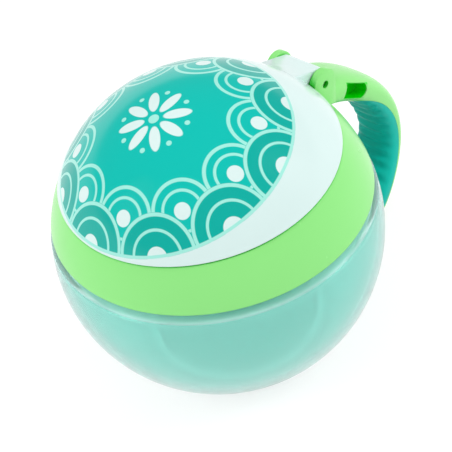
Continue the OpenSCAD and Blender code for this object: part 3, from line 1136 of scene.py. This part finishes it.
# ---------------------------------------------------------------- stage
# Lengths are in metres, angles in degrees, and the lamps' power in watts. SWEEP_TOP and SWEEP_FADE are
# heights on the unit sphere of the world, and the rest are strengths of light.
FLOOR_REACH = 3.0
FLOOR_GLOW = 0.72
AMBIENT = 0.66
SWEEP_TOP = 0.22
SWEEP_FADE = 0.14
CEILING = 0.25
LAMP_RISE = 38
LAMP_AWAY = 0.8
LAMP_SIZE = (0.3, 0.5)
LAMPS = (("left_box", 75, 2.2), ("right_box", -80, 2.4))


def make_floor():
    """A floor that glows for the camera, gloss and glass, and is plain pale grey to other light."""
    corners = [(x * FLOOR_REACH, y * FLOOR_REACH, 0) for x, y in ((-1, -1), (1, -1), (1, 1), (-1, 1))]
    thing = new_object("floor", corners, [(0, 1, 2, 3)])
    g = new_look("floor_look")
    grain = g.noise(60.0, 4.0)
    matte = g.node("BsdfDiffuse")
    g.wire(g.blend(grain, grey(0.41), grey(0.39)), matte.inputs["Color"])
    glow = g.node("Emission")
    glow.inputs["Strength"].default_value = FLOOR_GLOW
    shown = g.node("AddShader")
    g.wire(matte.outputs[0], shown.inputs[0])
    g.wire(glow.outputs[0], shown.inputs[1])
    plain = g.node("BsdfDiffuse")
    plain.inputs["Color"].default_value = grey(0.8)
    rays = g.node("LightPath").outputs
    seen = g.math("MAXIMUM", rays["Is Camera Ray"], rays["Is Glossy Ray"])
    seen = g.math("MAXIMUM", seen, rays["Is Transmission Ray"])
    g.wire(g.mix(seen, plain.outputs[0], shown.outputs[0]), g.surface)
    dress(thing, g.owner)


def make_world():
    """White all round for camera and glass. Gloss sees a white sweep below a dimmer ceiling, and all
    other light is AMBIENT."""
    world = bpy.data.worlds.new("studio")
    bpy.context.scene.world = world
    g = Graph(world, "OutputWorld")

    def background(strength):
        n = g.node("Background")
        n.inputs["Color"].default_value = grey(1.0)
        g.wire(strength, n.inputs["Strength"])
        return n.outputs[0]

    rays = g.node("LightPath").outputs
    parts = g.node("SeparateXYZ")
    g.wire(g.node("TexCoord").outputs["Generated"], parts.inputs[0])
    ceiling = g.node("MapRange", interpolation_type="SMOOTHSTEP")
    g.wire(parts.outputs[2], ceiling.inputs["Value"])
    ceiling.inputs["From Min"].default_value = SWEEP_TOP
    ceiling.inputs["From Max"].default_value = SWEEP_TOP + SWEEP_FADE
    ceiling.inputs["To Min"].default_value = 1.0
    ceiling.inputs["To Max"].default_value = CEILING
    lit = g.mix(rays["Is Glossy Ray"], background(AMBIENT), background(ceiling.outputs[0]))
    seen = g.math("MAXIMUM", rays["Is Camera Ray"], rays["Is Transmission Ray"])
    g.wire(g.mix(seen, lit, background(1.0)), g.surface)


def make_lamp(name, azimuth, power):
    """An area lamp that faces the object. Azimuth runs clockwise, seen from above, from the camera's side."""
    turn = math.radians(azimuth) + CAMERA_TURN
    flat = LAMP_AWAY * math.cos(math.radians(LAMP_RISE))
    height = LAMP_AWAY * math.sin(math.radians(LAMP_RISE))
    middle = Vector((0, 0, BALL_Z))
    place = middle + Vector((-flat * math.sin(turn), -flat * math.cos(turn), height))
    data = bpy.data.lights.new(name, "AREA")
    data.shape = "RECTANGLE"
    data.size, data.size_y = LAMP_SIZE
    data.energy = power
    lamp = bpy.data.objects.new(name, data)
    lamp.visible_glossy = False
    bpy.context.scene.collection.objects.link(lamp)
    lamp.location = place
    lamp.rotation_euler = (middle - place).to_track_quat("-Z", "Y").to_euler()


# ---------------------------------------------------------------- assembly
def add_piece(thing, material, body, node):
    """Dresses a piece, which then rides on its body and replaces the node that it stands for."""
    dress(thing, material)
    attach(thing, body)
    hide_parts(node)


def main():
    make_camera()
    make_floor()
    make_world()
    for name, azimuth, power in LAMPS:
        make_lamp(name, azimuth, power)
    add_piece(make_bowl(), bowl_plastic(), "bowl", "bowl")
    add_piece(make_collar(), collar_plastic(), "collar", "collar")
    add_piece(make_grip(), grip_rubber(), "collar", "handle_grip")
    add_piece(make_lid(), lid_plastic(), "lid", "lid")
    add_piece(make_insert(), flap_rubber(), "insert", "flap_insert")
    add_piece(make_pin(), pin_steel(), "collar", "hinge_pin")


main()

scene = bpy.context.scene
scene.view_settings.view_transform = "Standard"
